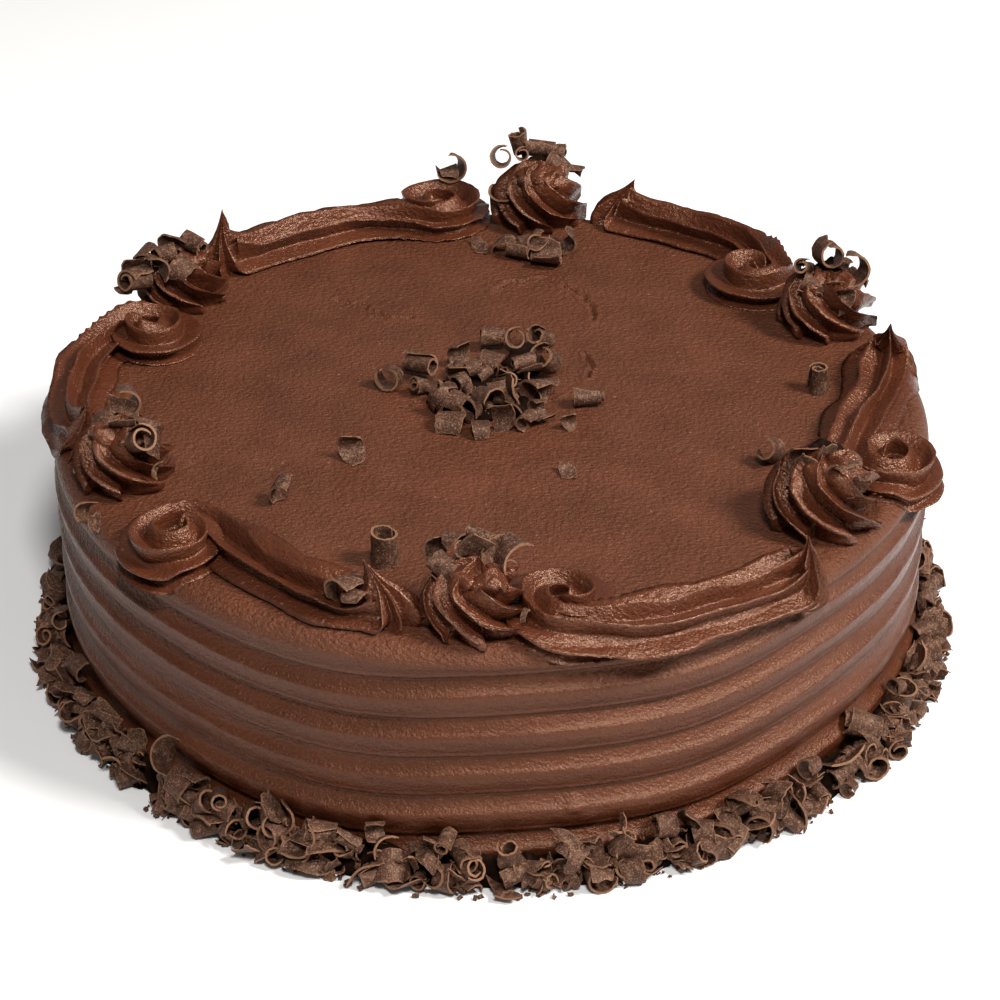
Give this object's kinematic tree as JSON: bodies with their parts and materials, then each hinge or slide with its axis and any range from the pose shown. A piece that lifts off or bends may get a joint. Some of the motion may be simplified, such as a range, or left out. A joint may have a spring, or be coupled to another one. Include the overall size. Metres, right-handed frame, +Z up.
{
  "type": "chocolate cake",
  "caption": "Round chocolate cake with a combed side, a piped border of swirled stars and scrolls, and chocolate curls.",
  "frame": {"origin": "centre of the cake's flat underside, on the surface that it stands on", "axes": "+Z up through the middle of the cake, +Y away from the viewer of the picture, +X to the viewer's right"},
  "size_m": [0.2615, 0.2635, 0.095],
  "materials": {
    "icing": "satin chocolate icing",
    "chocolate": "dull dark chocolate"
  },
  "bodies": {
    "root": {"cake_body": "icing", "star_1": "icing", "star_2": "icing", "star_3": "icing", "star_4": "icing", "star_5": "icing", "star_6": "icing", "scroll_1": "icing", "scroll_2": "icing", "scroll_3": "icing", "scroll_4": "icing", "scroll_5": "icing", "scroll_6": "icing", "star_curls_1": "chocolate", "star_curls_2": "chocolate", "star_curls_3": "chocolate", "star_curls_4": "chocolate", "star_curls_5": "chocolate", "star_curls_6": "chocolate", "middle_curls": "chocolate", "back_curls": "chocolate", "foot_curls_1": "chocolate", "foot_curls_2": "chocolate", "foot_curls_3": "chocolate", "foot_curls_4": "chocolate", "foot_curls_5": "chocolate", "foot_curls_6": "chocolate", "foot_curls_7": "chocolate", "foot_curls_8": "chocolate", "loose_curl_left_1": "chocolate", "loose_curl_left_2": "chocolate", "loose_curl_right_1": "chocolate", "loose_curl_right_2": "chocolate", "loose_curl_front": "chocolate", "loose_curl_middle_1": "chocolate", "loose_curl_middle_2": "chocolate", "loose_curl_middle_3": "chocolate"}
  },
  "joints": []
}
